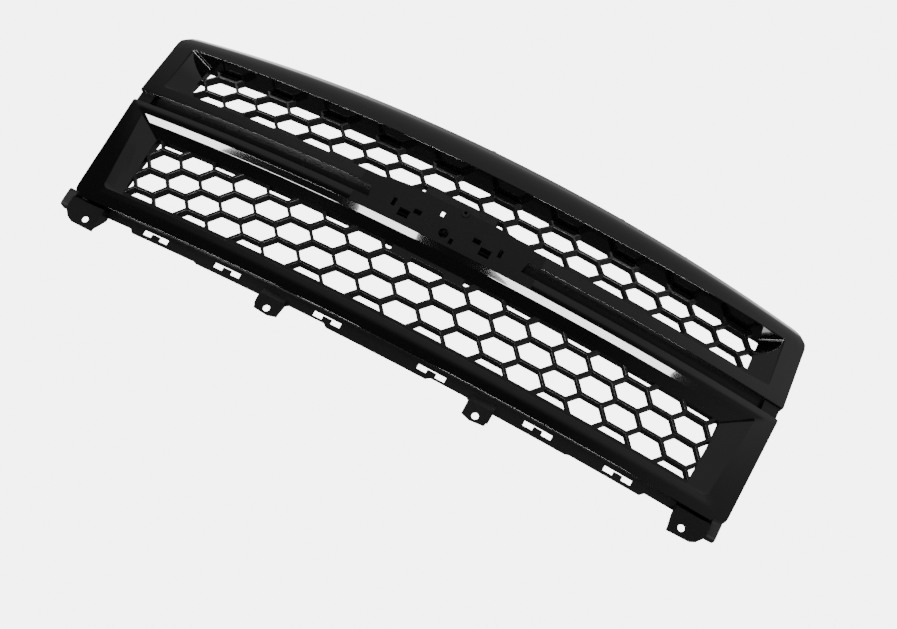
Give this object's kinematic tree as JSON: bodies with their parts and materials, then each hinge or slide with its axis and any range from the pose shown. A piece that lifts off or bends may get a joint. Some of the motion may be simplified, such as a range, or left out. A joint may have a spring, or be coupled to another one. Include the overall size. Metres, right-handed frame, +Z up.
{
  "type": "front grille",
  "caption": "Bowed front grille with two honeycomb meshes in gloss surrounds, a centre bar with a flat badge land, and mounting tabs along the bottom.",
  "frame": {"origin": "half way between the two inner tab holes of the bottom rail, on the tabs' front faces", "axes": "+X across the vehicle (to the viewer's right when seen from the front), +Y towards the vehicle's rear, +Z up; the front faces -Y"},
  "size_m": [1.112, 0.1693, 0.4008],
  "materials": {
    "gloss_black": "high gloss moulded black",
    "satin_black": "satin moulded-in black with a fine grain",
    "dark_grey": "plain moulded dark grey",
    "rubber_black": "matte soft rubber",
    "zinc": "black zinc plated steel"
  },
  "bodies": {
    "root": {"upper_surround": "gloss_black", "lower_surround": "gloss_black", "center_bar": "satin_black", "upper_mesh": "satin_black", "lower_mesh": "satin_black", "bottom_rail": "satin_black", "left_end_bracket": "satin_black", "right_end_bracket": "satin_black", "left_locating_block": "rubber_black", "right_locating_block": "rubber_black", "left_channel_cap": "satin_black", "right_channel_cap": "satin_black", "top_rail": "satin_black", "top_ear_nuts": "zinc", "badge_plate": "dark_grey", "upper_mesh_screws": "zinc", "lower_mesh_screws": "zinc", "center_bar_screws": "zinc", "badge_plate_screws": "zinc", "bottom_rail_screws": "zinc", "top_rail_screws": "zinc", "end_bracket_screws": "zinc"}
  },
  "joints": []
}
